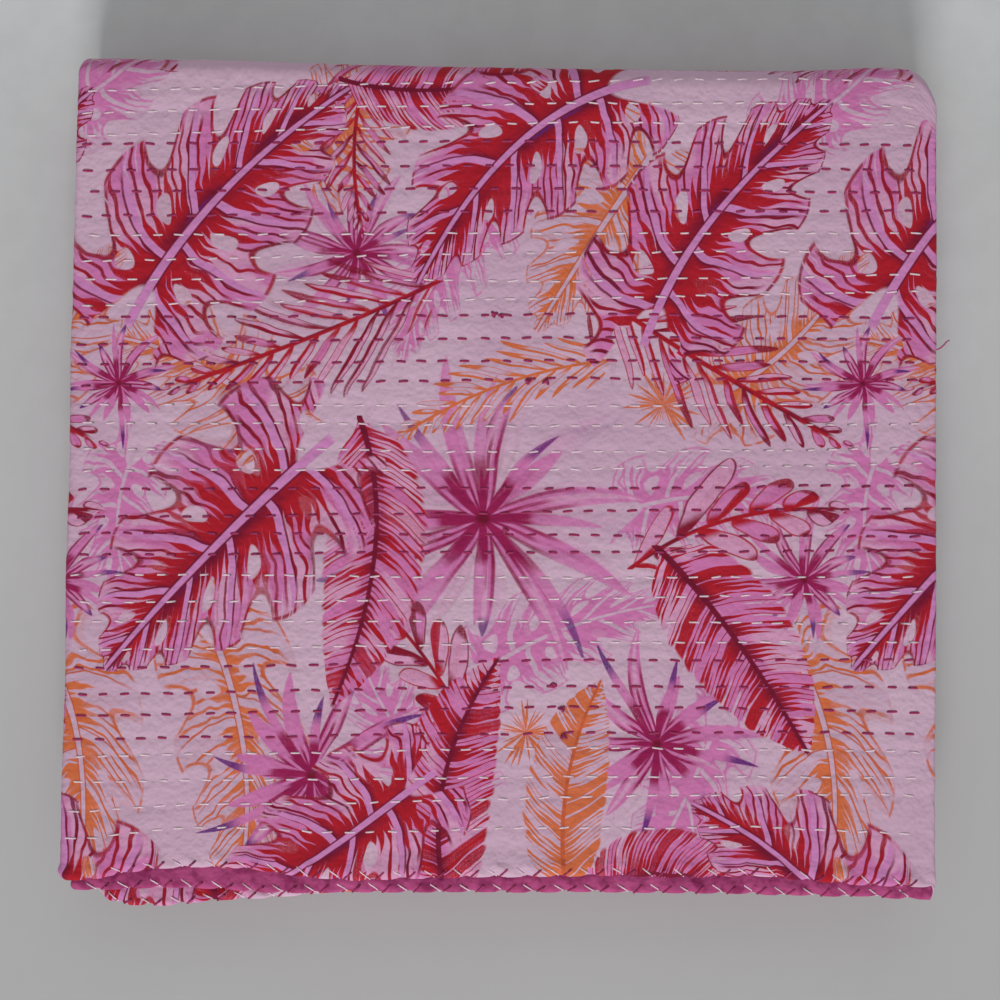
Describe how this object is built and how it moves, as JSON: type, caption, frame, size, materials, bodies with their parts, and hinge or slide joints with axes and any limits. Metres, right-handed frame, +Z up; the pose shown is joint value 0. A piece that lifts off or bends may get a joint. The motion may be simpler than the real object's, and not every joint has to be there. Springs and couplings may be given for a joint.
{
  "type": "kantha quilt",
  "caption": "Printed cotton kantha quilt with rows of running stitch, folded lengthwise and crosswise into a flat stack.",
  "frame": {"origin": "middle of the folded quilt's footprint, on the surface that it rests on", "axes": "+Z up, +X across the quilt's folded width to the right, +Y towards the crosswise folds at the back; the open hems are at -Y"},
  "size_m": [0.5806, 0.5604, 0.0655],
  "materials": {
    "printed_cotton": "matt woven cotton, leaf and flower print"
  },
  "bodies": {
    "root": {"quilt": "printed_cotton"}
  },
  "joints": []
}
